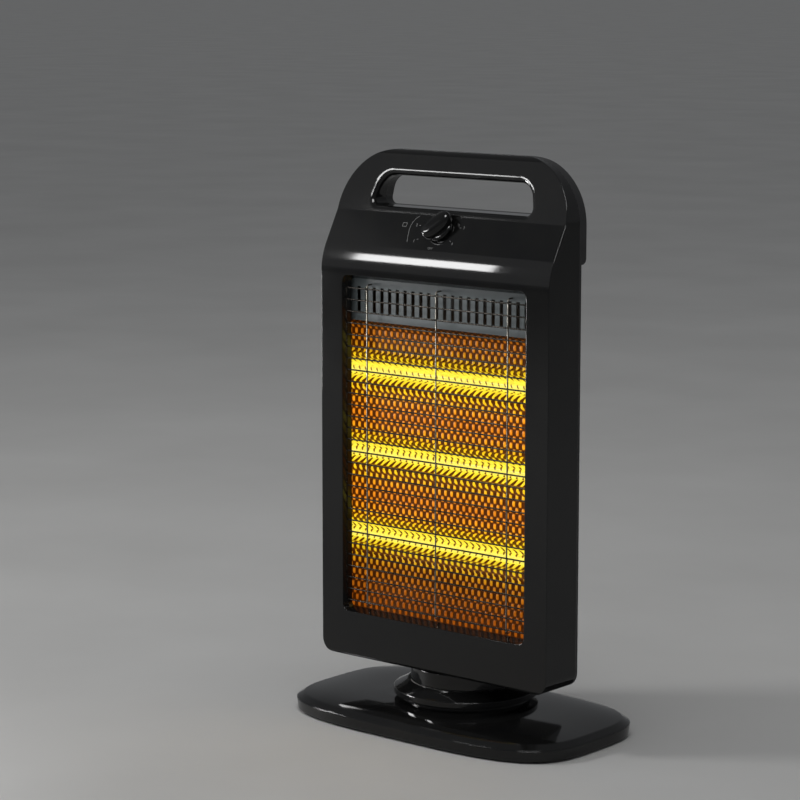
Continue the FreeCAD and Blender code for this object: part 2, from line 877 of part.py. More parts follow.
def cover_bulge(inset):
    """The rear cover's deep middle, drawn in by inset, tapering to the back."""
    start = parting_y + (-overrun if inset else 0)
    end = front_y + size("cover_depth") - inset
    low = head_low + inset
    high = head_low + size("cover_top") - inset
    half = cover_half - inset
    corner = size("cover_corner") - inset
    ends = [
        (start, half, high),
        (end, half - size("cover_side_taper"), high - size("cover_top_taper")),
    ]
    wires = [
        rounded_wire(upright_rectangle(w, low, top, size("lower_edge"), corner), face_on("Y", y))
        for y, w, top in ends
    ]
    return Part.makeLoft(wires, True, True)


# Rear cover: closing shell with the deep louvred middle and the back half of the handle.
def rear_cover():
    flange_end = parting_y + size("cover_flange")
    flange = slab(front_outline(0), "Y", parting_y, flange_end)
    step_low = head_high - size("handle_back_drop")
    back = parting_y + size("handle_back")
    handle = slab(front_outline(0), "Y", parting_y, back)
    keep_above = slab(
        [
            (parting_y, step_low, 0),
            (back, step_low, size("handle_back_round")),
            (back, head_high, size("handle_back_round")),
            (parting_y, head_high, 0),
        ],
        "X",
        -half_body,
        half_body,
    )
    handle = handle.common(keep_above)
    inner = slab(front_outline(wall), "Y", parting_y - overrun, back - wall)
    inner = inner.common(
        Part.makeBox(
            2 * half_body,
            size("housing_depth"),
            size("handle_back_drop") - wall,
            Vector(-half_body, parting_y - overrun, step_low + wall),
        )
    )
    inner = inner.cut(slab(grip_outline(wall), "Y", parting_y - 2 * overrun, back))
    shell = flange.multiFuse([handle, cover_bulge(0)])
    shell = shell.cut(inner).cut(cover_bulge(wall))
    for x, z in housing_boss_places():
        depth = size("handle_back") if z > step_low else size("cover_flange")
        seat = bar(size("boss_radius"), Vector(x, parting_y, z), BACK, depth)
        room = size("screw_head_radius") + size("running_gap")
        head_room = bar(room, Vector(x, flange_end, z), BACK, depth + overrun)
        hole = bar(screw_hole, Vector(x, parting_y - overrun, z), BACK, depth + overrun)
        shell = shell.fuse(seat).cut(head_room).cut(hole)
    shell = shell.cut(slab(grip_outline(0), "Y", parting_y - overrun, back + overrun))
    shell = shell.cut(Part.makeCompound(louvre_cutters()))
    for x, y in drum_screw_places() + motor_screw_places():
        shell = shell.cut(bar(screw_hole, Vector(x, y, head_low - overrun), UP, wall + 2 * overrun))
    leads = bar(size("spindle_bore"), Vector(0, swivel_y, head_low - overrun), UP, wall + 2 * overrun)
    shaft_hole = size("motor_shaft_radius") + size("running_gap")
    shaft = bar(
        shaft_hole, Vector(size("crank_reach"), swivel_y, head_low - overrun), UP, wall + 2 * overrun
    )
    gland = bar(size("gland_radius"), gland_place(-wall - overrun), BACK, wall + 2 * overrun)
    shell = shell.cut(leads).cut(shaft).cut(gland)
    feature("rear_cover", one_solid(shell))


def louvre_cutters():
    """Slots through the rear cover's back, in two columns."""
    back = front_y + size("cover_depth") - wall - overrun
    rib = size("louvre_rib") / 2
    length = cover_half - size("cover_side_taper") - size("louvre_margin") - rib
    boxes = []
    for row in range(LOUVRE_ROWS):
        z = head_low + size("louvre_low") + row * size("louvre_pitch")
        for x in (-rib - length, rib):
            corner = Vector(x, back, z)
            boxes.append(Part.makeBox(length, wall + 2 * overrun, size("louvre_height"), corner))
    return boxes


def gland_place(out):
    """The cord inlet's centre on the rear cover's back, moved out by a length."""
    back = front_y + size("cover_depth")
    across = cover_half - size("cover_side_taper") - size("gland_inset")
    return Vector(across, back + out, head_low + size("gland_height"))


# Screws that close the rear cover onto the front housing's bosses.
def housing_screws():
    seat = parting_y + size("cover_flange")
    length = size("cover_flange") + size("screw_length") - size("plate_gap")
    screws = [screw(Vector(x, seat, z), BACK * -1, length) for x, z in housing_boss_places()]
    feature("housing_screws", Part.makeCompound(screws))


# Cord gland: flanged inlet bush in the rear cover.
def cord_gland():
    bush = bar(size("gland_radius"), gland_place(-wall), BACK, wall)
    flange = bar(size("gland_flange_radius"), gland_place(0), BACK, size("gland_flange"))
    through = wall + size("gland_flange") + 2 * overrun
    bore = bar(size("gland_bore"), gland_place(-wall - overrun), BACK, through)
    feature("cord_gland", one_solid(bush.fuse(flange).cut(bore)))


def lamp_height(i):
    """Height of lamp i, counted from the lowest."""
    return head_low + size("lamp_middle") + (i - (LAMPS - 1) / 2) * size("lamp_pitch")


def apron_depth(z):
    """Where the reflector's apron lies at a height, seen from the side."""
    top = lamp_height(0) - size("lamp_pitch") / 2
    lean = size("reflector_flat") - size("apron_front")
    return front_y + size("reflector_flat") - lean * (top - z) / size("apron_drop")


# Reflector: bright embossed sheet, folded back to a shallow trough behind each lamp, with an apron below.
def reflector():
    flat = front_y + size("reflector_flat")
    deep = flat + size("trough_depth")
    half = size("trough_half_width")
    floor_half = size("trough_floor_half")
    low = lamp_height(0) - size("lamp_pitch") / 2
    high = lamp_height(LAMPS - 1) + size("lamp_pitch") / 2
    apron_low = low - size("apron_drop")
    line = [(apron_depth(apron_low), apron_low), (flat, low)]
    for i in range(LAMPS):
        z = lamp_height(i)
        line += [(flat, z - half), (deep, z - floor_half), (deep, z + floor_half), (flat, z + half)]
    line += [(flat, high), (front_y + size("strip_front"), head_low + size("strip_low"))]
    sheet_back = [(y + size("reflector_sheet"), z) for y, z in reversed(line)]
    outline = [Vector(-reflector_half, y, z) for y, z in line + sheet_back]
    sheet = Part.Face(Part.makePolygon(outline + outline[:1]))
    feature("reflector", one_solid(sheet.extrude(RIGHT * (2 * reflector_half))))


# End plates: upright sheets at both sides of the reflector that carry the lamp caps.
def end_plate(side, label):
    low = head_low + size("window_low") - size("end_plate_margin")
    high = head_low + size("window_high") + size("end_plate_margin")
    inner = side * reflector_half
    outer = inner + side * size("end_plate_sheet")
    near = front_y + wall
    far = front_y + size("shield_front")
    outline = [(near, low, 0), (far, low, 0), (far, high, 0), (near, high, 0)]
    plate = slab(outline, "X", min(inner, outer), max(inner, outer))
    for i in range(LAMPS):
        centre = Vector(min(inner, outer) - overrun, front_y + size("lamp_depth"), lamp_height(i))
        hole = bar(size("cap_radius") + size("cap_gap"), centre, RIGHT, size("end_plate_sheet") + 2 * overrun)
        plate = plate.cut(hole)
    feature(label, one_solid(plate))


# Lamp tube: one quartz tube per lamp, from cap to cap.
def lamp_tube(i, label):
    z = f"{HEAD_LOW} + lamp_middle + {i - (LAMPS - 1) / 2} * lamp_pitch"
    y = f"{FRONT_Y} + lamp_depth"
    outer = rod(f"tube_outer_{i}", "lamp_radius", f"2 * {LAMP_HALF}", f"0 - {LAMP_HALF}", y, z, RIGHT)
    inner = rod(
        f"tube_inner_{i}", "lamp_radius - lamp_wall", f"2 * {LAMP_HALF}", f"0 - {LAMP_HALF}", y, z, RIGHT
    )
    keep(cut(f"tube_cut_{i}", outer, inner), label)


# Filament: coiled wire along the middle of the tube, held between the caps; its envelope is a slim rod.
def filament(i, label):
    z = f"{HEAD_LOW} + lamp_middle + {i - (LAMPS - 1) / 2} * lamp_pitch"
    y = f"{FRONT_Y} + lamp_depth"
    length = f"2 * {LAMP_HALF}"
    keep(rod(f"filament_rod_{i}", "filament_radius", length, f"0 - {LAMP_HALF}", y, z, RIGHT), label)


# Lamp caps: ceramic ends that close each tube and sit in the end plates.
def lamp_caps():
    caps = []
    for i in range(LAMPS):
        for side in (-1, 1):
            start = Vector(side * (lamp_half - size("cap_overlap")), 0, 0)
            start += Vector(0, front_y + size("lamp_depth"), lamp_height(i))
            along = RIGHT * side
            cap = bar(size("cap_radius"), start, along, size("cap_length"))
            socket = bar(size("lamp_radius") + size("cap_gap"), start, along, size("cap_overlap"))
            caps.append(cap.cut(socket))
    feature("lamp_caps", Part.makeCompound(caps))


def plate_sketch(body, name, depth, width, low, height):
    """A rectangle across the head, even about its middle, on a plane at depth behind the front."""
    sketch = body.newObject("Sketcher::SketchObject", name)
    plane = next(item for item in body.Origin.OriginFeatures if item.Role == "XZ_Plane")
    sketch.AttachmentSupport = [(plane, "")]
    sketch.MapMode = "FlatFace"
    bind(sketch, "AttachmentOffset.Base.z", f"front_setback - swivel_set_back - {depth}")
    corners = [Vector(-1, 1, 0), Vector(1, 1, 0), Vector(1, 2, 0), Vector(-1, 2, 0)]
    for i in range(4):
        sketch.addGeometry(Part.LineSegment(corners[i], corners[(i + 1) % 4]), False)
    for i in range(4):
        sketch.addConstraint(Sketcher.Constraint("Coincident", i, 2, (i + 1) % 4, 1))
    sketch.addConstraint(Sketcher.Constraint("Horizontal", 2))
    for i in (1, 3):
        sketch.addConstraint(Sketcher.Constraint("Vertical", i))
    sketch.addConstraint(Sketcher.Constraint("Symmetric", 0, 1, 0, 2, -2))
    limits = (("across", "DistanceX", (0, 1, 0, 2)), ("rise", "DistanceY", (1, 1, 1, 2)))
    for label, kind, ends in limits:
        index = sketch.addConstraint(Sketcher.Constraint(kind, *ends, 1.0))
        sketch.renameConstraint(index, label)
    index = sketch.addConstraint(Sketcher.Constraint("DistanceY", -1, 1, 0, 1, 1.0))
    sketch.renameConstraint(index, "lift")
    bind(sketch, "Constraints.across", width)
    bind(sketch, "Constraints.rise", height)
    bind(sketch, "Constraints.lift", low)
    return sketch


def plate_body(label, depth, thickness, width, low, height):
    """A flat sheet across the head whose front face lies at depth."""
    body = doc.addObject("PartDesign::Body", label)
    outline = plate_sketch(body, f"{label}_outline", depth, width, low, height)
    pad = body.newObject("PartDesign::Pad", f"{label}_pad")
    pad.Profile = outline
    pad.Reversed = True
    bind(pad, "Length", thickness)
    body.Tip = pad
    doc.recompute()
    return body


# Vent strip: slotted steel strip above the reflector, through which the warm air rises.
def vent_strip():
    low = f"{HEAD_LOW} + strip_low"
    body = plate_body(
        "vent_strip", "strip_front", "strip_sheet", f"2 * {REFLECTOR_HALF}", low, "strip_height"
    )
    slot_low = f"{low} + (strip_height - strip_slot_height) / 2"
    slot = plate_sketch(
        body, "vent_slot", "strip_front", "strip_slot_width", slot_low, "strip_slot_height"
    )
    bind(slot, "AttachmentOffset.Base.x", f"strip_end - {REFLECTOR_HALF}")
    doc.recompute()
    before = body.Shape.Volume
    pocket = body.newObject("PartDesign::Pocket", "vent_slot_cut")
    pocket.Profile = slot
    pocket.Type = "ThroughAll"
    body.Tip = pocket
    doc.recompute()
    if not body.Shape.Volume < before:
        raise RuntimeError("the vent strip's slot misses the sheet")
    pattern = body.newObject("PartDesign::LinearPattern", "vent_slots")
    pattern.Originals = [pocket]
    pattern.Direction = (slot, ["H_Axis"])
    bind(pattern, "Length", f"2 * ({REFLECTOR_HALF} - strip_end)")
    pattern.Occurrences = STRIP_SLOTS
    body.Tip = pattern
    doc.recompute()
    keep(body, "vent_strip")


# Heat shield: plain sheet behind the reflector that keeps the rear cover cool.
def heat_shield():
    width = f"2 * ({REFLECTOR_HALF} + end_plate_sheet)"
    low = f"{HEAD_LOW} + window_low"
    height = "window_high - window_low"
    body = plate_body("heat_shield", "shield_front", "shield_sheet", width, low, height)
    keep(body, "heat_shield")


# Thermal cut-out: small round switch on the back of the heat shield.
def thermal_cutout():
    y = f"{FRONT_Y} + shield_front + shield_sheet"
    z = f"{HEAD_LOW} + lamp_middle + lamp_pitch / 2"
    keep(rod("cutout_disc", "cutout_radius", "cutout_height", "cutout_place_x", y, z, BACK), "thermal_cutout")


# Guard cross wires: straight steel wires across the window.
def guard_cross_wires():
    wires = []
    for i in range(CROSS_WIRES):
        z = f"{HEAD_LOW} + guard_low + {i} * guard_pitch"
        y = f"{FRONT_Y} + guard_depth"
        length = f"2 * {GUARD_HALF}"
        wires.append(rod(f"cross_wire_{i}", "wire_radius", length, f"0 - {GUARD_HALF}", y, z, RIGHT))
    keep(group("cross_wire_group", wires), "guard_cross_wires")


# Guard uprights: wires behind the cross wires, bent back at both ends to the strip and the apron.
def guard_uprights():
    radius = size("wire_radius")
    bend = size("upright_bend")
    y = front_y + size("guard_depth") + 2 * radius
    low = head_low + size("guard_low") - size("upright_overhang")
    high = low + (CROSS_WIRES - 1) * size("guard_pitch") + 2 * size("upright_overhang")
    top_end = front_y + size("strip_front")
    low_end = apron_depth(low - bend - radius)
    turn = bend * (1 - math.cos(math.pi / 4))
    wires = []
    for i in range(UPRIGHTS):
        x = (2 * i / (UPRIGHTS - 1) - 1) * (half_body - size("guard_margin") - size("upright_inset"))
        low_bend = Part.Arc(
            Vector(x, y + bend, low - bend), Vector(x, y + turn, low - bend + turn), Vector(x, y, low)
        )
        high_bend = Part.Arc(
            Vector(x, y, high), Vector(x, y + turn, high + bend - turn), Vector(x, y + bend, high + bend)
        )
        runs = [
            Part.LineSegment(Vector(x, low_end, low - bend), Vector(x, y + bend, low - bend)).toShape(),
            low_bend.toShape(),
            Part.LineSegment(Vector(x, y, low), Vector(x, y, high)).toShape(),
            high_bend.toShape(),
            Part.LineSegment(Vector(x, y + bend, high + bend), Vector(x, top_end, high + bend)).toShape(),
        ]
        path = Part.Wire(runs)
        section = Part.Wire(Part.makeCircle(radius, Vector(x, low_end, low - bend), BACK * -1))
        wires.append(path.makePipeShell([section], True, True))
    feature("guard_uprights", Part.makeCompound(wires))


# Knob: round skirt with a raised grip bar whose end points at the setting.
def control_knob():
    skirt = size("knob_skirt")
    radius = size("knob_radius")
    half = size("grip_bar_half_width")
    reach = radius + size("grip_bar_overhang")
    base = Part.makeCone(radius, size("knob_top_radius"), skirt)
    corner = half * GRIP_CORNER_SHARE
    bar_outline = [
        (-reach, -half, corner),
        (reach, -half, corner),
        (reach, half, corner),
        (-reach, half, corner),
    ]
    grip = slab(bar_outline, "Z", 0, size("grip_bar_height"))
    grip.rotate(Vector(), UP, KNOB_POINTER_DEG)
    knob = base.fuse(grip)
    socket = bar(size("shaft_radius"), Vector(), UP, skirt)
    knob = one_solid(knob.cut(socket))
    knob.Placement = panel_frame(size("knob_gap")).multiply(knob.Placement)
    feature("control_knob", knob)


def panel_frame(out):
    """A placement on the panel under the knob: x to the right, y up the panel, z out of it."""
    lean = panel_lean()
    turn = Rotation(RIGHT, math.degrees(math.pi / 2 - lean))
    return Placement(panel_point(out), turn)


# Switch shaft: carries the knob and turns in the rotary switch.
def switch_shaft():
    length = size("shaft_depth") + size("knob_gap") + size("knob_skirt")
    start = panel_point(-size("shaft_depth"))
    feature("switch_shaft", bar(size("shaft_radius"), start, panel_normal(), length))


# Rotary switch: boxed wafer switch fixed behind the panel.
def rotary_switch():
    width = size("switch_width")
    height = size("switch_height")
    depth = size("switch_depth")
    case = Part.makeBox(width, height, depth, Vector(-width / 2, -height / 2, -depth - wall))
    gap = size("running_gap")
    bore_end = Vector(0, 0, -size("shaft_depth") - gap)
    bore = bar(size("shaft_radius") + gap, bore_end, UP, size("shaft_depth"))
    shape = case.cut(bore)
    shape.Placement = panel_frame(0)
    feature("rotary_switch", one_solid(shape))


# Terminal block: where the supply meets the switch and lamp leads, on the floor of the head.
def terminal_block():
    keep(
        block(
            "terminal_box",
            "terminal_length",
            "terminal_width",
            "terminal_height",
            "0 - terminal_place_x - terminal_length / 2",
            f"{SWIVEL_Y} + terminal_place_y",
            FLOOR_TOP,
        ),
        "terminal_block",
    )


base_cover()
base_plate()
rubber_feet()
base_screws()
collar_ring()
collar_screws()
swivel_washer()
neck_drum()
drum_screws()
swivel_spindle()
retaining_nut()
swing_yoke()
swing_crank()
swing_motor()
motor_screws()
tip_plunger()
tip_switch()
front_housing()
rear_cover()
housing_screws()
cord_gland()
reflector()
end_plate(-1, "end_plate_left")
end_plate(1, "end_plate_right")
for number, level in enumerate(("lower", "middle", "upper")):
    lamp_tube(number, f"{level}_lamp_tube")
    filament(number, f"{level}_filament")
lamp_caps()
vent_strip()
heat_shield()
thermal_cutout()
guard_cross_wires()
guard_uprights()
control_knob()
switch_shaft()
rotary_switch()
terminal_block()
doc.recompute()

for obj in doc.Objects:
    if "Invalid" in obj.State or "Error" in obj.State:
        raise RuntimeError(f"{obj.Label} did not build: {obj.State}")
for obj in sub_parts:
    if obj.Shape.isNull() or not obj.Shape.isValid() or not obj.Shape.Solids:
        raise RuntimeError(f"{obj.Label} has no valid shape")

os.makedirs("parts", exist_ok=True)
for obj in sub_parts:
    obj.Shape.exportStep(f"parts/{obj.Label}.step")
    box = obj.Shape.BoundBox
    print(obj.Label, len(obj.Shape.Solids), round(obj.Shape.Volume), round(box.ZMin, 1), round(box.ZMax, 1))
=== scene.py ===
import math

import bmesh
import bpy
from mathutils import Matrix, Vector


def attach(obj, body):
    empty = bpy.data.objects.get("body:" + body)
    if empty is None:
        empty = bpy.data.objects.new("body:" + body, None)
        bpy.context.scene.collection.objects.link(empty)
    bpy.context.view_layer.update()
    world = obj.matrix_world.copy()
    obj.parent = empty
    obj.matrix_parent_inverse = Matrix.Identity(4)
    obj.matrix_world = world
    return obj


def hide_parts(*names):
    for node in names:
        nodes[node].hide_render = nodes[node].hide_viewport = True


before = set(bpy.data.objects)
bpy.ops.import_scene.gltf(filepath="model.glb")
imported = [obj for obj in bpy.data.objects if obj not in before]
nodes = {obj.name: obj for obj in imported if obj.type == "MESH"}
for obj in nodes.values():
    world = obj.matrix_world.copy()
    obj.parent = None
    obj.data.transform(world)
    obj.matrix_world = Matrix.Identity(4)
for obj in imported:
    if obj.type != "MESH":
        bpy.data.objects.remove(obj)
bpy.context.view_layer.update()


# Front housing: injection-moulded shell of gloss-black plastic with the bezel, the sloped panel and half of
# the handle. The moulding has a faint orange-peel ripple and picks up fine dust marks.
def finish(name, colour, roughness, metallic=0.0):
    """A new procedural finish, with its shader and object coordinates."""
    mat = bpy.data.materials.new(name)
    mat.use_nodes = True
    tree = mat.node_tree
    shader = tree.nodes["Principled BSDF"]
    shader.inputs["Base Color"].default_value = (*colour, 1)
    shader.inputs["Roughness"].default_value = roughness
    shader.inputs["Metallic"].default_value = metallic
    coords = tree.nodes.new("ShaderNodeTexCoord").outputs["Object"]
    return mat, tree, shader, coords


def noise(tree, coords, scale, detail, stretch=(1, 1, 1)):
    """A noise pattern over the piece, stretched along an axis where the finish is drawn or brushed."""
    mapping = tree.nodes.new("ShaderNodeMapping")
    mapping.inputs["Scale"].default_value = stretch
    tree.links.new(coords, mapping.inputs["Vector"])
    tex = tree.nodes.new("ShaderNodeTexNoise")
    tex.inputs["Scale"].default_value = scale
    tex.inputs["Detail"].default_value = detail
    tree.links.new(mapping.outputs["Vector"], tex.inputs["Vector"])
    return tex.outputs["Fac"]


def spread(tree, value, low, high, start=0.3, end=0.7):
    """Maps a pattern from its range, start to end, to low and high. The usual range is that of noise."""
    node = tree.nodes.new("ShaderNodeMapRange")
    node.inputs["From Min"].default_value = start
    node.inputs["From Max"].default_value = end
    node.inputs["To Min"].default_value = low
    node.inputs["To Max"].default_value = high
    tree.links.new(value, node.inputs["Value"])
    return node.outputs["Result"]


def mottle(tree, shader, coords, scale, detail, first, second):
    """Varies the colour between two tones in soft patches."""
    patches = spread(tree, noise(tree, coords, scale, detail), low=0.0, high=1.0)
    mix = tree.nodes.new("ShaderNodeMix")
    mix.data_type = "RGBA"
    mix.inputs["A"].default_value = (*first, 1)
    mix.inputs["B"].default_value = (*second, 1)
    tree.links.new(patches, mix.inputs["Factor"])
    tree.links.new(mix.outputs["Result"], shader.inputs["Base Color"])


def relief(tree, shader, value, strength, depth):
    """Raises a pattern as fine relief."""
    bump = tree.nodes.new("ShaderNodeBump")
    bump.inputs["Strength"].default_value = strength
    bump.inputs["Distance"].default_value = depth
    tree.links.new(value, bump.inputs["Height"])
    tree.links.new(bump.outputs["Normal"], shader.inputs["Normal"])
    return bump


def dress(mat, *names):
    """Gives CAD nodes their finish."""
    for name in names:
        nodes[name].data.materials.clear()
        nodes[name].data.materials.append(mat)


def gloss_black(name, roughness, ripple, edge_round):
    """A gloss-black moulding with faint dust, uneven haze, a fine ripple and softened edges."""
    mat, tree, shader, coords = finish(name, colour=(0.008, 0.008, 0.008), roughness=roughness)
    shader.inputs["IOR"].default_value = 1.42
    dust_clear = (0.0065, 0.0065, 0.007)
    dust_heavy = (0.0095, 0.0095, 0.009)
    mottle(tree, shader, coords, scale=34.0, detail=6.0, first=dust_clear, second=dust_heavy)
    haze = noise(tree, coords, scale=9.0, detail=4.0)
    uneven = spread(tree, haze, low=roughness - 0.02, high=roughness + 0.03)
    tree.links.new(uneven, shader.inputs["Roughness"])
    bump = relief(tree, shader, noise(tree, coords, scale=420.0, detail=2.0), strength=ripple, depth=0.0002)
    edge = tree.nodes.new("ShaderNodeBevel")
    edge.inputs["Radius"].default_value = edge_round
    tree.links.new(edge.outputs["Normal"], bump.inputs["Normal"])
    return mat


dress(gloss_black("housing_gloss_black", roughness=0.09, ripple=0.03, edge_round=0.0012), "front_housing")


# Rear cover: plain moulded shell in the same black, grained on the outside so that it hides marks.
# It is screwed to the housing and has louvres for the cooling air. The cord's gland is of the same plastic.
rear_grain, tree, shader, coords = finish("rear_cover_grain", colour=(0.016, 0.016, 0.017), roughness=0.42)
mottle(tree, shader, coords, scale=60.0, detail=5.0, first=(0.012, 0.012, 0.013), second=(0.02, 0.02, 0.02))
relief(tree, shader, noise(tree, coords, scale=1600.0, detail=2.0), strength=0.22, depth=0.0004)
dress(rear_grain, "rear_cover", "cord_gland")


# Base cover, collar and neck drum: piano-black injection mouldings, polished so that the crowned top of the
# base mirrors the head. The base plate is screwed to the cover's bosses from below, and collar and drum are
# screwed on from inside.
dress(gloss_black("base_piano_black", roughness=0.06, ripple=0.02, edge_round=0.003), "base_cover")
neck_gloss = gloss_black("neck_piano_black", roughness=0.06, ripple=0.02, edge_round=0.0012)
dress(neck_gloss, "collar_ring", "neck_drum")


# Inner metal: steel screws, spindle, nut, shaft, cut-out and motor can, turned or drawn and zinc plated.
# The plating is patchy in tone and keeps the streaks of the drawing.
zinc, tree, shader, coords = finish("zinc_plate", colour=(0.55, 0.56, 0.58), roughness=0.34, metallic=1.0)
streaks = noise(tree, coords, scale=260.0, detail=4.0, stretch=(1, 1, 12))
mottle(tree, shader, coords, scale=70.0, detail=4.0, first=(0.42, 0.43, 0.45), second=(0.68, 0.68, 0.66))
tree.links.new(spread(tree, streaks, low=0.24, high=0.46), shader.inputs["Roughness"])
relief(tree, shader, streaks, strength=0.08, depth=0.0002)
dress(
    zinc,
    "base_screws",
    "collar_screws",
    "drum_screws",
    "motor_screws",
    "housing_screws",
    "swivel_spindle",
    "retaining_nut",
    "thermal_cutout",
    "swing_motor",
    "switch_shaft",
)


# Heat shield: aluminised steel sheet behind the heating unit, pressed flat and hooked to the housing.
# Its colour is painted near-black as painted shade, so that it reads as black through the slots of the vent
# strip.
shield_painted_shade, tree, shader, coords = finish(
    "shield_painted_shade_black", colour=(0.012, 0.01, 0.009), roughness=0.6, metallic=0.3
)
mottle(tree, shader, coords, scale=40.0, detail=5.0, first=(0.008, 0.007, 0.006), second=(0.02, 0.016, 0.013))
rolling = noise(tree, coords, scale=300.0, detail=3.0, stretch=(1, 1, 6))
relief(tree, shader, rolling, strength=0.1, depth=0.0002)
dress(shield_painted_shade, "heat_shield")


# Base plate: heavy steel sheet under the base that keeps the heater upright, cut and held by screws.
# It has a dull black powder coat with a fine texture.
plate_coat, tree, shader, coords = finish("ballast_powder_coat", colour=(0.035, 0.035, 0.037), roughness=0.6)
mottle(tree, shader, coords, scale=45.0, detail=5.0, first=(0.025, 0.025, 0.027), second=(0.05, 0.05, 0.05))
relief(tree, shader, noise(tree, coords, scale=900.0, detail=3.0), strength=0.3, depth=0.0005)
dress(plate_coat, "base_plate")


# Feet: four moulded rubber pads, stuck under the base plate's corners.
# The rubber is matte and holds a little floor dust.
foot_rubber, tree, shader, coords = finish("foot_rubber", colour=(0.03, 0.03, 0.03), roughness=0.8)
mottle(tree, shader, coords, scale=150.0, detail=5.0, first=(0.02, 0.02, 0.02), second=(0.06, 0.058, 0.055))
relief(tree, shader, noise(tree, coords, scale=1200.0, detail=2.0), strength=0.3, depth=0.0004)
dress(foot_rubber, "rubber_feet")


# Plain moulded inner pieces: natural white nylon for the sliding pieces and the terminal block, and
# black plastic for the switch cases. Both keep the fine texture of the mould.
white_nylon, tree, shader, coords = finish("natural_nylon", colour=(0.78, 0.77, 0.73), roughness=0.45)
mottle(tree, shader, coords, scale=90.0, detail=4.0, first=(0.72, 0.71, 0.66), second=(0.82, 0.81, 0.78))
relief(tree, shader, noise(tree, coords, scale=1100.0, detail=2.0), strength=0.12, depth=0.0003)
dress(white_nylon, "swivel_washer", "swing_crank", "swing_yoke", "tip_plunger", "terminal_block")
switch_black, tree, shader, coords = finish("switch_case_black", colour=(0.02, 0.02, 0.021), roughness=0.5)
mottle(tree, shader, coords, scale=120.0, detail=4.0, first=(0.015, 0.015, 0.016), second=(0.03, 0.03, 0.03))
relief(tree, shader, noise(tree, coords, scale=1500.0, detail=2.0), strength=0.15, depth=0.0003)
dress(switch_black, "tip_switch", "rotary_switch")


# Reflector: thin bright sheet, embossed with staggered ovals and folded to a trough behind each lamp.
# The lit lamps' reflection in it is painted as a glow: bands of gold that fade to amber, broken up by the
# embossing.
lamp_count = 3
lamp_low = 0.181  # height of the lowest lamp
lamp_pitch = 0.0835
lamp_front = -0.023  # Y of the lamps' axes
oval_pitch = 0.0077  # from oval to oval in a row
row_pitch = 0.0063  # from row to row
lean_rate = 0.7  # how far an oval leans aside for each unit of distance from a lamp
lean_full = 0.012  # distance from a lamp up to which the ovals lean
lean_none = 0.02  # distance from which they stand upright

sheet_front = -0.029  # Y of the sheet's flats
trough_depth = 0.0135
trough_floor = 0.005  # half the height of a trough's floor
trough_mouth = 0.02  # half the height of its mouth
trough_slope = 0.7328  # lean of its sides, in radians
fold_half = 0.0005  # half the height over which the ovals turn at a fold
apron_low = 0.10125  # lower and upper edge of the apron below the lamps, which leans forward
apron_high = 0.13925
apron_reach = 0.007

# The lamps' reflection painted as a glow: its tone and strength go by the distance from the nearest lamp,
# darker between the ovals, fading at the bottom and top and gone under the vent strip.
glow_reach = 0.06  # distance from a lamp at which its light has faded to brown
glow_tones = (  # share of that distance, and the tone there
    (0.0, (1.0, 0.9, 0.16, 1)),
    (0.08, (1.0, 0.82, 0.05, 1)),
    (0.2, (1.0, 0.7, 0.012, 1)),
    (0.33, (1.0, 0.54, 0.01, 1)),
    (0.5, (0.95, 0.33, 0.01, 1)),
    (0.72, (0.84, 0.24, 0.01, 1)),
    (1.0, (0.6, 0.14, 0.006, 1)),
)
glow_gap_tone = (0.5, 0.11, 0.008, 1)  # between the ovals
glow_merged = 0.002  # distance from a lamp up to which the ovals merge in its light
glow_apart = 0.013  # distance from which they stand apart
glow_edges = (  # share of the light at two heights: at the bottom, at the top and under the vent strip
    (0.5, 1.0, 0.15, 0.178),
    (1.0, 0.55, 0.352, 0.378),
    (1.0, 0.0, 0.39, 0.4),
)


def sum_of(tree, kind, first, second):
    """One step of arithmetic between two patterns or numbers."""
    node = tree.nodes.new("ShaderNodeMath")
    node.operation = kind
    for socket, value in zip(node.inputs, (first, second)):
        if isinstance(value, (int, float)):
            socket.default_value = value
        else:
            tree.links.new(value, socket)
    return node.outputs["Value"]


def lamp_offset(tree, height):
    """How far a height lies above the nearest of the lamps, in metres."""
    steps = sum_of(tree, "DIVIDE", sum_of(tree, "SUBTRACT", height, lamp_low), lamp_pitch)
    nearest = sum_of(tree, "ROUND", steps, 0)
    nearest = sum_of(tree, "MINIMUM", sum_of(tree, "MAXIMUM", nearest, 0), lamp_count - 1)
    return sum_of(tree, "MULTIPLY", sum_of(tree, "SUBTRACT", steps, nearest), lamp_pitch)


def oval_lean(tree, distance):
    """How far an oval leans aside at a distance from the nearest lamp."""
    return sum_of(tree, "MULTIPLY", distance, spread(tree, distance, lean_rate, 0.0, lean_full, lean_none))


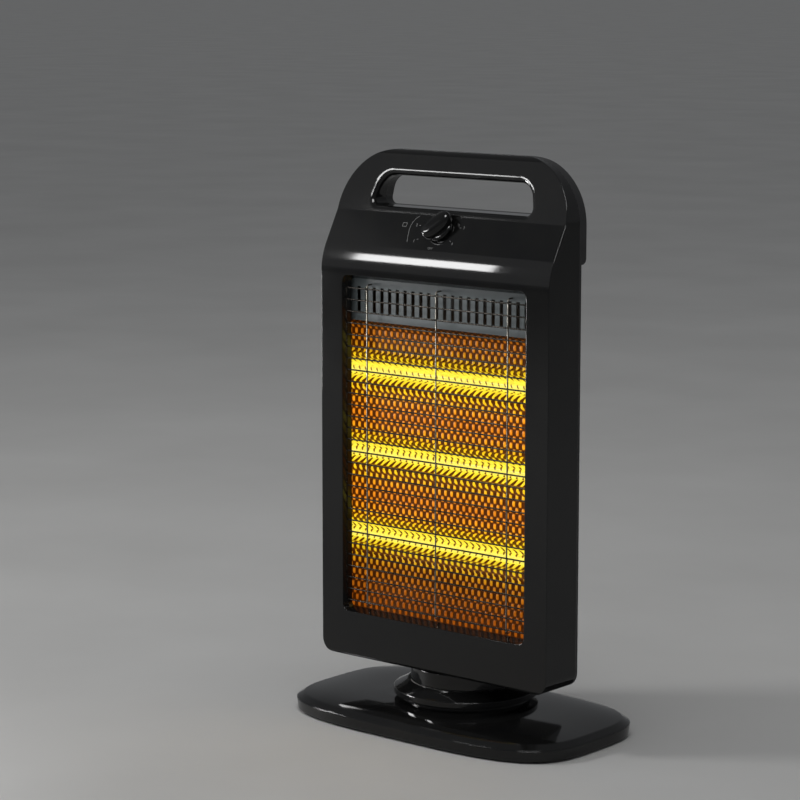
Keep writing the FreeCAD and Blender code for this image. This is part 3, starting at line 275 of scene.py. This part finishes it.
def lamp_glow_and_painted_reflection(tree, shader, coords, along):
    """Painted glow in ovals in staggered rows that lean and merge close to a lamp: painted reflection of the
    lamps on the sheets, the lamps' own glow on the tubes.
    """
    parts = tree.nodes.new("ShaderNodeSeparateXYZ")
    tree.links.new(coords, parts.inputs["Vector"])
    height = parts.outputs["Z"]
    distance = sum_of(tree, "ABSOLUTE", lamp_offset(tree, height), 0)
    place = sum_of(tree, "ADD", parts.outputs[along], oval_lean(tree, distance))
    columns = sum_of(tree, "COSINE", sum_of(tree, "MULTIPLY", place, 2 * math.pi / oval_pitch), 0)
    rows = sum_of(tree, "SINE", sum_of(tree, "MULTIPLY", height, math.pi / row_pitch), 0)
    raised = sum_of(tree, "MULTIPLY", columns, rows)
    ramp = tree.nodes.new("ShaderNodeValToRGB")
    tones = ramp.color_ramp.elements
    tones[0].position, tones[0].color = glow_tones[0]
    tones[1].position, tones[1].color = glow_tones[-1]
    for share, colour in glow_tones[1:-1]:
        tones.new(share).color = colour
    tree.links.new(sum_of(tree, "DIVIDE", distance, glow_reach), ramp.inputs["Fac"])
    merged = spread(tree, distance, 1.0, 0.0, glow_merged, glow_apart)
    crest = spread(tree, sum_of(tree, "ADD", raised, merged), low=0.0, high=1.0, start=-0.05, end=0.45)
    tone = tree.nodes.new("ShaderNodeMix")
    tone.data_type = "RGBA"
    tone.inputs["A"].default_value = glow_gap_tone
    tree.links.new(ramp.outputs["Color"], tone.inputs["B"])
    tree.links.new(crest, tone.inputs["Factor"])
    tree.links.new(tone.outputs["Result"], shader.inputs["Emission Color"])
    lit = spread(tree, crest, low=0.15, high=1.05, start=0.0, end=1.0)
    flicker = spread(tree, noise(tree, coords, scale=300.0, detail=2.0), low=0.85, high=1.2)
    lit = sum_of(tree, "MULTIPLY", lit, flicker)
    for low, high, start, end in glow_edges:
        lit = sum_of(tree, "MULTIPLY", lit, spread(tree, height, low, high, start, end))
    tree.links.new(lit, shader.inputs["Emission Strength"])


def sheet_with_painted_glow(name, along):
    """Sheet whose look is the lamps' reflection, painted as a glow, with its ovals in staggered rows along an
    axis.
    """
    mat, tree, shader, coords = finish(name, colour=(0.022, 0.011, 0.004), roughness=0.4, metallic=1.0)
    lamp_glow_and_painted_reflection(tree, shader, coords, along)
    rolling = noise(tree, coords, scale=700.0, detail=2.0, stretch=(1, 1, 8))
    relief(tree, shader, rolling, strength=0.1, depth=0.0002)
    return mat


def new_tree(name, sizes):
    """An empty geometry tree with one named number for each size."""
    group = bpy.data.node_groups.new(name, "GeometryNodeTree")
    group.interface.new_socket("Geometry", in_out="OUTPUT", socket_type="NodeSocketGeometry")
    for label, value in sizes.items():
        kind = "NodeSocketInt" if isinstance(value, int) else "NodeSocketFloat"
        group.interface.new_socket(label, in_out="INPUT", socket_type=kind).default_value = value
    return group, group.nodes.new("NodeGroupInput"), group.nodes.new("NodeGroupOutput")


def grown(name, group, sizes):
    """Runs a geometry tree with its sizes and keeps the result as a plain mesh object."""
    holder = bpy.data.objects.new(name, bpy.data.meshes.new(name))
    bpy.context.scene.collection.objects.link(holder)
    modifier = holder.modifiers.new(name, "NODES")
    modifier.node_group = group
    for item in group.interface.items_tree:
        if item.item_type == "SOCKET" and item.in_out == "INPUT":
            modifier[item.identifier] = sizes[item.name]
    evaluated = holder.evaluated_get(bpy.context.evaluated_depsgraph_get())
    mesh = bpy.data.meshes.new_from_object(evaluated)
    holder.modifiers.remove(modifier)
    holder.data = mesh
    return holder


reflector_painted_glow = sheet_with_painted_glow("reflector_painted_lamp_glow", "X")
dress(reflector_painted_glow, "reflector")
oval_sizes = {
    "Columns": 32,
    "Rows": 45,
    "Column Pitch": oval_pitch,
    "Row Pitch": row_pitch,
    "First Row": 0.11025,
    "Oval Width": 0.0046,
    "Oval Height": 0.0072,
    "Oval Thickness": 0.0014,
    "Half Sheet": 0.1258,
}
group, given, result = new_tree("reflector_ovals", oval_sizes)
asked = given.outputs
grid = group.nodes.new("GeometryNodeMeshGrid")
group.links.new(asked["Columns"], grid.inputs["Vertices X"])
group.links.new(asked["Rows"], grid.inputs["Vertices Y"])
across = sum_of(group, "MULTIPLY", sum_of(group, "SUBTRACT", asked["Columns"], 1), asked["Column Pitch"])
upward = sum_of(group, "MULTIPLY", sum_of(group, "SUBTRACT", asked["Rows"], 1), asked["Row Pitch"])
group.links.new(across, grid.inputs["Size X"])
group.links.new(upward, grid.inputs["Size Y"])

# Each point of the grid goes to its row's height, is staggered and leans, and lies on the folded sheet.
spot = group.nodes.new("ShaderNodeSeparateXYZ")
group.links.new(group.nodes.new("GeometryNodeInputPosition").outputs["Position"], spot.inputs["Vector"])
rise = sum_of(group, "ADD", spot.outputs["Y"], sum_of(group, "MULTIPLY", upward, 0.5))
height = sum_of(group, "ADD", rise, asked["First Row"])
row = sum_of(group, "ROUND", sum_of(group, "DIVIDE", rise, asked["Row Pitch"]), 0)
odd = sum_of(group, "MODULO", row, 2)
stagger = sum_of(group, "MULTIPLY", odd, sum_of(group, "MULTIPLY", asked["Column Pitch"], 0.5))
distance = sum_of(group, "ABSOLUTE", lamp_offset(group, height), 0)
aside = sum_of(group, "SUBTRACT", spot.outputs["X"], stagger)
aside = sum_of(group, "SUBTRACT", aside, oval_lean(group, distance))
trough = spread(group, distance, trough_depth, 0.0, trough_floor, trough_mouth)
apron = spread(group, height, apron_reach, 0.0, apron_low, apron_high)
depth = sum_of(group, "SUBTRACT", sum_of(group, "ADD", trough, sheet_front), apron)
onto = group.nodes.new("ShaderNodeCombineXYZ")
group.links.new(aside, onto.inputs["X"])
group.links.new(depth, onto.inputs["Y"])
group.links.new(height, onto.inputs["Z"])
seat = group.nodes.new("GeometryNodeSetPosition")
group.links.new(grid.outputs["Mesh"], seat.inputs["Geometry"])
group.links.new(onto.outputs["Vector"], seat.inputs["Position"])
trim = group.nodes.new("GeometryNodeDeleteGeometry")
outside = sum_of(group, "GREATER_THAN", sum_of(group, "ABSOLUTE", spot.outputs["X"], 0), asked["Half Sheet"])
group.links.new(seat.outputs["Geometry"], trim.inputs["Geometry"])
group.links.new(outside, trim.inputs["Selection"])

# An oval on a trough's side leans with that side.
offset = lamp_offset(group, spot.outputs["Z"])
distance = sum_of(group, "ABSOLUTE", offset, 0)
past_floor = spread(group, distance, 0.0, trough_slope, trough_floor - fold_half, trough_floor + fold_half)
before_mouth = spread(group, distance, 1.0, 0.0, trough_mouth - fold_half, trough_mouth + fold_half)
sloped = sum_of(group, "MULTIPLY", past_floor, sum_of(group, "SIGN", offset, 0))
sloped = sum_of(group, "MULTIPLY", sloped, before_mouth)
turn = group.nodes.new("ShaderNodeCombineXYZ")
group.links.new(sloped, turn.inputs["X"])
form = group.nodes.new("ShaderNodeCombineXYZ")
group.links.new(asked["Oval Width"], form.inputs["X"])
group.links.new(asked["Oval Thickness"], form.inputs["Y"])
group.links.new(asked["Oval Height"], form.inputs["Z"])
oval = group.nodes.new("GeometryNodeMeshUVSphere")
oval.inputs["Segments"].default_value = 8
oval.inputs["Rings"].default_value = 5
oval.inputs["Radius"].default_value = 0.5
stamp = group.nodes.new("GeometryNodeInstanceOnPoints")
group.links.new(trim.outputs["Geometry"], stamp.inputs["Points"])
group.links.new(oval.outputs["Mesh"], stamp.inputs["Instance"])
group.links.new(turn.outputs["Vector"], stamp.inputs["Rotation"])
group.links.new(form.outputs["Vector"], stamp.inputs["Scale"])
real = group.nodes.new("GeometryNodeRealizeInstances")
group.links.new(stamp.outputs["Instances"], real.inputs["Geometry"])
soft = group.nodes.new("GeometryNodeSetShadeSmooth")
group.links.new(real.outputs["Geometry"], soft.inputs["Geometry"])
paint = group.nodes.new("GeometryNodeSetMaterial")
paint.inputs["Material"].default_value = reflector_painted_glow
group.links.new(soft.outputs["Geometry"], paint.inputs["Geometry"])
group.links.new(paint.outputs["Geometry"], result.inputs["Geometry"])
reflector_ovals = grown("reflector_ovals", group, oval_sizes)
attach(reflector_ovals, "head")


# End plates: the same bright sheet with the same painted glow of the lamps' reflection, cut flat to stand at
# both sides of the reflector.
# They are pierced for the lamp caps, which sit in them.
dress(sheet_with_painted_glow("end_plate_painted_lamp_glow", "Y"), "end_plate_left", "end_plate_right")


# Lamps: quartz tubes on ceramic caps, each with a coiled filament that glows along its length.
# The tubes are lit through, and the coils in them stand for the plain rods of the solid model.
quartz, tree, shader, coords = finish("glowing_quartz", colour=(0.16, 0.11, 0.03), roughness=0.08)
shader.inputs["IOR"].default_value = 1.46
shader.inputs["Specular IOR Level"].default_value = 0.15
lamp_glow_and_painted_reflection(tree, shader, coords, "X")
dress(quartz, "lower_lamp_tube", "middle_lamp_tube", "upper_lamp_tube")

cap_ceramic, tree, shader, coords = finish("lamp_cap_ceramic", colour=(0.75, 0.72, 0.66), roughness=0.7)
mottle(tree, shader, coords, scale=220.0, detail=5.0, first=(0.6, 0.56, 0.48), second=(0.82, 0.79, 0.74))
relief(tree, shader, noise(tree, coords, scale=1800.0, detail=3.0), strength=0.35, depth=0.0004)
dress(cap_ceramic, "lamp_caps")

coil_glow, tree, shader, coords = finish("glowing_coil", colour=(1.0, 0.6, 0.2), roughness=0.5)
shader.inputs["Emission Color"].default_value = (1.0, 0.8, 0.25, 1)
flicker = spread(tree, noise(tree, coords, scale=120.0, detail=2.0), low=3.0, high=5.0)
tree.links.new(flicker, shader.inputs["Emission Strength"])

coil_sizes = {
    "Lamps": lamp_count,
    "Pitch": lamp_pitch,
    "Coil Length": 0.25,
    "Coil Radius": 0.0012,
    "Wire Radius": 0.00032,
    "Turns": 130.0,
}
group, given, result = new_tree("lamp_coils", coil_sizes)
asked = given.outputs
spiral = group.nodes.new("GeometryNodeCurveSpiral")
spiral.inputs["Resolution"].default_value = 12
group.links.new(asked["Turns"], spiral.inputs["Rotations"])
group.links.new(asked["Coil Radius"], spiral.inputs["Start Radius"])
group.links.new(asked["Coil Radius"], spiral.inputs["End Radius"])
group.links.new(asked["Coil Length"], spiral.inputs["Height"])
wire = group.nodes.new("GeometryNodeCurvePrimitiveCircle")
wire.inputs["Resolution"].default_value = 5
group.links.new(asked["Wire Radius"], wire.inputs["Radius"])
tube = group.nodes.new("GeometryNodeCurveToMesh")
tube.inputs["Fill Caps"].default_value = True
group.links.new(spiral.outputs["Curve"], tube.inputs["Curve"])
group.links.new(wire.outputs["Curve"], tube.inputs["Profile Curve"])
lay = group.nodes.new("GeometryNodeTransform")
lay.inputs["Rotation"].default_value = (0, math.pi / 2, 0)
group.links.new(tube.outputs["Mesh"], lay.inputs["Geometry"])
shift = group.nodes.new("ShaderNodeCombineXYZ")
group.links.new(sum_of(group, "MULTIPLY", asked["Coil Length"], -0.5), shift.inputs["X"])
group.links.new(shift.outputs["Vector"], lay.inputs["Translation"])
rows = group.nodes.new("GeometryNodeMeshLine")
rows.inputs["Start Location"].default_value = (0, lamp_front, lamp_low)
group.links.new(asked["Lamps"], rows.inputs["Count"])
step = group.nodes.new("ShaderNodeCombineXYZ")
group.links.new(asked["Pitch"], step.inputs["Z"])
group.links.new(step.outputs["Vector"], rows.inputs["Offset"])
place = group.nodes.new("GeometryNodeInstanceOnPoints")
group.links.new(rows.outputs["Mesh"], place.inputs["Points"])
group.links.new(lay.outputs["Geometry"], place.inputs["Instance"])
real = group.nodes.new("GeometryNodeRealizeInstances")
group.links.new(place.outputs["Instances"], real.inputs["Geometry"])
paint = group.nodes.new("GeometryNodeSetMaterial")
paint.inputs["Material"].default_value = coil_glow
group.links.new(real.outputs["Geometry"], paint.inputs["Geometry"])
group.links.new(paint.outputs["Geometry"], result.inputs["Geometry"])
lamp_coils = grown("lamp_coils", group, coil_sizes)
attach(lamp_coils, "head")
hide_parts("lower_filament", "middle_filament", "upper_filament")


# Vent strip: steel strip above the reflector, pierced with a row of upright slots for the warm air.
# It is stoved in satin grey and hooked between the end plates.
strip_paint, tree, shader, coords = finish("strip_satin_grey", colour=(0.19, 0.22, 0.228), roughness=0.5)
mottle(tree, shader, coords, scale=50.0, detail=4.0, first=(0.17, 0.2, 0.208), second=(0.21, 0.24, 0.248))
relief(tree, shader, noise(tree, coords, scale=1300.0, detail=2.0), strength=0.1, depth=0.0002)
shader.inputs["Specular IOR Level"].default_value = 0.2
dress(strip_paint, "vent_strip")


# Guard: drawn steel wires, welded where the cross wires lie on the uprights. The one steel has two tones: the
# cross wires are darkened as painted shade, and the uprights are lighter as painted light.
def drawn_wire(name, colour, roughness, metallic, dark, light, smooth, rough):
    """Plated wire, patchy in tone and in gloss between two values of each."""
    mat, tree, shader, coords = finish(name, colour, roughness, metallic)
    mottle(tree, shader, coords, scale=130.0, detail=4.0, first=dark, second=light)
    wear = noise(tree, coords, scale=500.0, detail=3.0)
    tree.links.new(spread(tree, wear, low=smooth, high=rough), shader.inputs["Roughness"])
    relief(tree, shader, noise(tree, coords, scale=900.0, detail=2.0), strength=0.05, depth=0.0002)
    return mat


# Cross wires: darkened tone, painted shade.
cross_wire = drawn_wire(
    "guard_wire_painted_shade",
    colour=(0.035, 0.032, 0.028),
    roughness=0.3,
    metallic=1.0,
    dark=(0.022, 0.02, 0.018),
    light=(0.055, 0.05, 0.044),
    smooth=0.16,
    rough=0.32,
)
dress(cross_wire, "guard_cross_wires")
# Uprights: lighter tone, painted light.
upright_wire = drawn_wire(
    "guard_wire_painted_light",
    colour=(0.2, 0.19, 0.16),
    roughness=0.36,
    metallic=0.85,
    dark=(0.15, 0.14, 0.12),
    light=(0.25, 0.235, 0.2),
    smooth=0.3,
    rough=0.48,
)
dress(upright_wire, "guard_uprights")


# Dial knob: gloss-black moulding pushed on the switch shaft, with a low round skirt under a swelling
# grip bar that points at the setting.
panel_run = 25.0  # the sloped panel goes back by this for each panel_rise upward
panel_rise = 46.0
panel_foot = Vector((-0.004, -0.047, 0.461))  # on the panel's lower edge, below the knob
knob_up_panel = 0.04
knob_points = math.radians(45)
ring_count = 72
skirt_rings = [  # radius and height over the panel
    (0.013, 0.0008),
    (0.0138, 0.0009),
    (0.014, 0.0014),
    (0.0138, 0.0032),
    (0.0131, 0.0042),
    (0.0118, 0.0047),
    (0.006, 0.0049),
]
grip_rings = [  # half length, half width and height over the panel
    (0.0162, 0.0088, 0.003),
    (0.0168, 0.0092, 0.0046),
    (0.017, 0.0092, 0.0068),
    (0.0168, 0.0086, 0.0095),
    (0.0161, 0.0074, 0.0117),
    (0.0147, 0.0058, 0.013),
    (0.0126, 0.004, 0.0136),
    (0.0095, 0.002, 0.0138),
]
grip_end_power = 0.72  # below 1, the ends and sides of the grip are fuller than an ellipse's
grip_side_power = 0.86

panel_lean = math.atan2(panel_run, panel_rise)
panel_up = Vector((0, math.sin(panel_lean), math.cos(panel_lean)))
panel_out = Vector((0, -math.cos(panel_lean), math.sin(panel_lean)))
knob_at = panel_foot + panel_up * knob_up_panel
panel_axes = Matrix((Vector((1, 0, 0)), panel_up, panel_out)).transposed().to_4x4()
panel_frame = Matrix.Translation(knob_at) @ panel_axes


def lofted(mesh, rings):
    """Skins closed rings of equal length into one capped form."""
    made = [[mesh.verts.new(point) for point in ring] for ring in rings]
    for lower, upper in zip(made, made[1:]):
        for i in range(len(lower)):
            j = (i + 1) % len(lower)
            mesh.faces.new((lower[i], lower[j], upper[j], upper[i]))
    mesh.faces.new(list(reversed(made[0])))
    mesh.faces.new(made[-1])


def stadium(half_length, half_width, height, turn):
    """A rounded oblong ring at a height, turned in its plane."""
    ring = []
    for i in range(ring_count):
        angle = 2 * math.pi * i / ring_count
        c = math.cos(angle)
        s = math.sin(angle)
        x = math.copysign(abs(c) ** grip_end_power, c) * half_length
        y = math.copysign(abs(s) ** grip_side_power, s) * half_width
        turned_x = x * math.cos(turn) - y * math.sin(turn)
        turned_y = x * math.sin(turn) + y * math.cos(turn)
        ring.append((turned_x, turned_y, height))
    return ring


def solid_piece(name, mesh, mat, place, smooth):
    """Turns a finished mesh into an object whose place is in its vertices."""
    bmesh.ops.recalc_face_normals(mesh, faces=mesh.faces)
    data = bpy.data.meshes.new(name)
    mesh.transform(place)
    mesh.to_mesh(data)
    mesh.free()
    data.polygons.foreach_set("use_smooth", [smooth] * len(data.polygons))
    data.materials.append(mat)
    piece = bpy.data.objects.new(name, data)
    bpy.context.scene.collection.objects.link(piece)
    return piece


knob_mesh = bmesh.new()
circle = [2 * math.pi * i / ring_count for i in range(ring_count)]
lofted(knob_mesh, [[(r * math.cos(a), r * math.sin(a), h) for a in circle] for r, h in skirt_rings])
lofted(knob_mesh, [stadium(length, width, h, knob_points) for length, width, h in grip_rings])
knob_gloss = gloss_black("knob_gloss_black", roughness=0.08, ripple=0.02, edge_round=0.0006)
dial_knob = solid_piece("dial_knob", knob_mesh, knob_gloss, panel_frame, smooth=True)
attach(dial_knob, "knob")
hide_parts("control_knob")


# Dial marks: plain numbers, ticks and a range line, pad-printed on the panel in pale grey ink.
# The ink lies about a tenth of a millimetre proud. Places are measured on the panel from the knob's axis.
ink, tree, shader, coords = finish("dial_print_grey", colour=(0.2, 0.2, 0.195), roughness=0.55)
mottle(tree, shader, coords, scale=400.0, detail=4.0, first=(0.15, 0.15, 0.145), second=(0.24, 0.24, 0.235))
relief(tree, shader, noise(tree, coords, scale=2500.0, detail=2.0), strength=0.1, depth=0.0001)
off_place = (-0.0049, -0.022)
off_height = 0.0034
number_places = {
    "1": (-0.0277, -0.0157),
    "2": (-0.0306, 0.0012),
    "3": (0.028, 0.002),
    "4": (0.02, -0.0155),
}
number_height = 0.0042
letter_half_depth = 0.00003
letter_middle = 0.00006  # height of the letters' middle over the panel
line_low = 0.00002  # lower and upper face of the printed lines
line_high = 0.0001
line_width = 0.0005
tick_start = 0.0032  # from a number's middle toward the knob
tick_end = 0.0052
range_line = [
    (-0.0359, -0.0173),
    (-0.0369, -0.013),
    (-0.0376, -0.0089),
    (-0.0382, -0.0047),
    (-0.038, 0.0),
    (-0.0369, 0.004),
    (-0.0345, 0.0078),
    (-0.0307, 0.0108),
]
swing_mark = [(-0.0483, -0.0012), (-0.0433, -0.0012), (-0.0433, 0.0026), (-0.0483, 0.0026)]


def printed(words, place, height):
    """A word on the panel, as a thin mesh in the panel's own plane."""
    text = bpy.data.curves.new("print", "FONT")
    text.body = words
    text.size = height
    text.align_x = "CENTER"
    text.align_y = "CENTER"
    text.extrude = letter_half_depth
    holder = bpy.data.objects.new("print", text)
    bpy.context.scene.collection.objects.link(holder)
    evaluated = holder.evaluated_get(bpy.context.evaluated_depsgraph_get())
    flat_mesh = bpy.data.meshes.new_from_object(evaluated)
    flat_mesh.transform(Matrix.Translation((*place, letter_middle)))
    bpy.data.objects.remove(holder)
    return flat_mesh


def bar_on_panel(mesh, start, end):
    """A printed line between two points of the panel."""
    along = (Vector(end) - Vector(start)).normalized()
    side = Vector((-along.y, along.x)) * (line_width / 2)
    corners = [Vector(start) + side, Vector(start) - side, Vector(end) - side, Vector(end) + side]
    below = [mesh.verts.new((c.x, c.y, line_low)) for c in corners]
    above = [mesh.verts.new((c.x, c.y, line_high)) for c in corners]
    mesh.faces.new(above)
    mesh.faces.new(list(reversed(below)))
    for i in range(4):
        j = (i + 1) % 4
        mesh.faces.new((below[i], below[j], above[j], above[i]))


marks = bmesh.new()
marks.from_mesh(printed("OFF", off_place, off_height))
for words, place in number_places.items():
    marks.from_mesh(printed(words, place, number_height))
for place in number_places.values():
    inward = -Vector(place).normalized()
    bar_on_panel(marks, Vector(place) + inward * tick_start, Vector(place) + inward * tick_end)
for start, end in zip(range_line, range_line[1:]):
    bar_on_panel(marks, start, end)
for start, end in zip(swing_mark, swing_mark[1:] + swing_mark[:1]):
    bar_on_panel(marks, start, end)
dial_marks = solid_piece("dial_marks", marks, ink, panel_frame, smooth=False)
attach(dial_marks, "head")


# Studio: a plain pale floor, a broad light at the front left, a soft fill from above, a strip box close
# to the front, which draws the highlight on the housing's bend, a dim card that the panel mirrors, and a
# box at each side for the base's edges.
reach = 200.0
floor_data = bpy.data.meshes.new("floor")
floor_data.from_pydata(
    [(-reach, -reach, 0), (reach, -reach, 0), (reach, reach, 0), (-reach, reach, 0)], [], [(0, 1, 2, 3)]
)
floor = bpy.data.objects.new("floor", floor_data)
bpy.context.scene.collection.objects.link(floor)
pale, tree, shader, coords = finish("pale_floor", colour=(0.66, 0.655, 0.64), roughness=0.6)
mottle(tree, shader, coords, scale=3.0, detail=8.0, first=(0.63, 0.625, 0.61), second=(0.69, 0.685, 0.67))
shader.inputs["Specular IOR Level"].default_value = 0.1
floor_data.materials.append(pale)


def soft_light(name, place, aim, width, height, power, mirrored):
    """A rectangular light aimed at a point, which only gloss mirrors or which only fills."""
    data = bpy.data.lights.new(name, "AREA")
    data.shape = "RECTANGLE"
    data.size = width
    data.size_y = height
    data.energy = power
    light = bpy.data.objects.new(name, data)
    bpy.context.scene.collection.objects.link(light)
    light.location = place
    light.rotation_euler = (Vector(aim) - Vector(place)).to_track_quat("-Z", "Y").to_euler()
    light.visible_glossy = mirrored
    light.visible_diffuse = not mirrored
    light.visible_camera = False


for name, place, aim, width, height, power, mirrored in (
    ("window_light", (-1.8, -1.55, 1.74), (0, 0, 0.3), 0.55, 0.46, 18, False),
    ("top_fill", (0.33, -0.58, 3.43), (0, 0, 0.3), 2.4, 2.4, 24, False),
    ("strip_box", (-0.21, -0.258, 0.57), (-0.21, -0.046, 0.5), 0.196, 0.06, 0.9, True),
    ("wall_card", (-1.9, -1.7, 1.3), (0, 0, 0.4), 2.0, 1.6, 2.2, True),
    ("left_box", (-0.57, -0.3, 0.33), (-0.1, -0.1, 0.02), 0.14, 0.2, 5.0, True),
    ("right_box", (0.9, -1.08, 2.0), (0.1, -0.05, 0.02), 1.2, 0.9, 45.0, True),
):
    soft_light(name, place, aim, width, height, power, mirrored)
world = bpy.data.worlds.new("studio")
world.use_nodes = True
world.node_tree.nodes["Background"].inputs["Color"].default_value = (0.9, 0.92, 0.95, 1)
world.node_tree.nodes["Background"].inputs["Strength"].default_value = 0.2
bpy.context.scene.world = world
bpy.context.scene.view_settings.view_transform = "Standard"


# Camera: at the photograph's viewing angle.
camera_azimuth = math.radians(40.33)
camera_elevation = math.radians(9.05)
camera_distance = 2.7534
camera_aim = Vector((-0.07788, -0.002, 0.31696))
camera_data = bpy.data.cameras.new("camera")
camera_data.sensor_width = 36.0
camera_data.lens = 123.66
camera = bpy.data.objects.new("camera", camera_data)
bpy.context.scene.collection.objects.link(camera)
camera_out = Vector(
    (
        math.sin(camera_azimuth) * math.cos(camera_elevation),
        -math.cos(camera_azimuth) * math.cos(camera_elevation),
        math.sin(camera_elevation),
    )
)
camera.location = camera_aim + camera_out * camera_distance
camera.rotation_euler = (-camera_out).to_track_quat("-Z", "Y").to_euler()
bpy.context.scene.camera = camera
